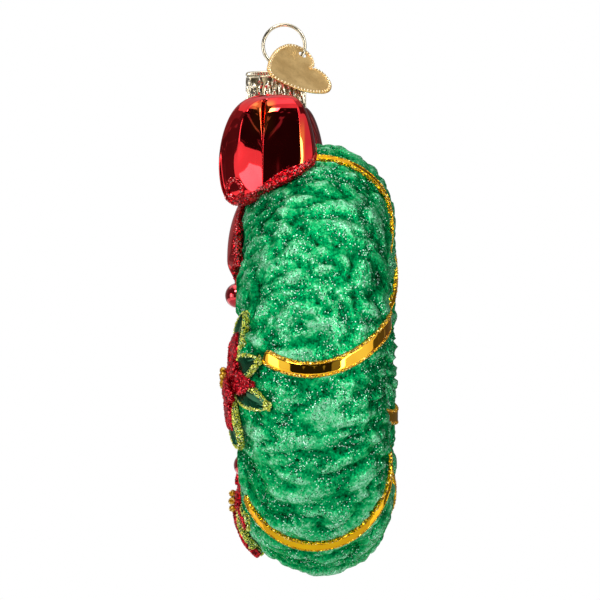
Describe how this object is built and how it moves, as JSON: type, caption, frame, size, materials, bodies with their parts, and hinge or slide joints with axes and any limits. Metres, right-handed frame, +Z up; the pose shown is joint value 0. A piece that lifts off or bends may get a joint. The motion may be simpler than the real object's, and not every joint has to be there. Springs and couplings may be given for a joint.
{
  "type": "hanging wreath ornament",
  "caption": "Blown glass wreath ornament with a bow, gold ribbon and poinsettias; its metal cap turns, its wire hanger pulls up and a heart-shaped tag swings on the loop.",
  "frame": {"origin": "the point inside the top of the wire loop where a hook bears", "axes": "+Z up, +X to the right as seen from the front, +Y towards the back: the front of the wreath faces -Y"},
  "size_m": [0.0937, 0.0365, 0.1175],
  "materials": {
    "green_lacquer": "silvered inside, green lacquer with clear and silver glitter",
    "silvered_glass": "bare silvered glass",
    "red_lacquer": "silvered inside, glossy clear red lacquer, red glitter along the edges",
    "gold_lacquer": "silvered inside, glossy gold lacquer, gold glitter along the edges",
    "leaf_lacquer": "glossy green lacquer outlined in yellow-green glitter",
    "petal_lacquer": "red lacquer with red glitter",
    "stamen_glitter": "gold glitter",
    "berry_lacquer": "glossy red lacquer",
    "cap_metal": "pale gold, embossed",
    "wire_metal": "pale gold, polished",
    "tag_metal": "polished brass"
  },
  "bodies": {
    "glass": {"wreath_glass": "green_lacquer", "glass_neck": "silvered_glass", "bow_knot": "red_lacquer", "bow_loop_left": "red_lacquer", "bow_loop_right": "red_lacquer", "bow_tail_left": "red_lacquer", "bow_tail_right": "red_lacquer", "ribbon_wrap_1": "gold_lacquer", "ribbon_wrap_2": "gold_lacquer", "ribbon_wrap_3": "gold_lacquer", "ribbon_wrap_4": "gold_lacquer", "ribbon_wrap_5": "gold_lacquer", "ribbon_wrap_6": "gold_lacquer", "leaves_right": "leaf_lacquer", "leaves_bottom": "leaf_lacquer", "leaves_left": "leaf_lacquer", "petals_right": "petal_lacquer", "petals_bottom": "petal_lacquer", "petals_left": "petal_lacquer", "stamens_right": "stamen_glitter", "stamens_bottom": "stamen_glitter", "stamens_left": "stamen_glitter", "berries": "berry_lacquer"},
    "cap": {"cap": "cap_metal"},
    "hanger": {"hanger_wire": "wire_metal"},
    "tag": {"heart_tag": "tag_metal"}
  },
  "joints": [
    {"name": "cap_turn", "type": "hinge", "parent": "glass", "child": "cap", "pos_m": [0, -0.0017, -0.0097], "axis": [0, 0, 1], "continuous": true},
    {"name": "hanger_pull", "type": "slide", "parent": "cap", "child": "hanger", "axis": [0, 0, 1], "range_m": [0, 0.003]},
    {"name": "tag_swing", "type": "hinge", "parent": "hanger", "child": "tag", "pos_m": [0, 0.00394, -0.006], "axis": [0, 0.4384, 0.8988], "range_deg": [-10, 60]}
  ]
}
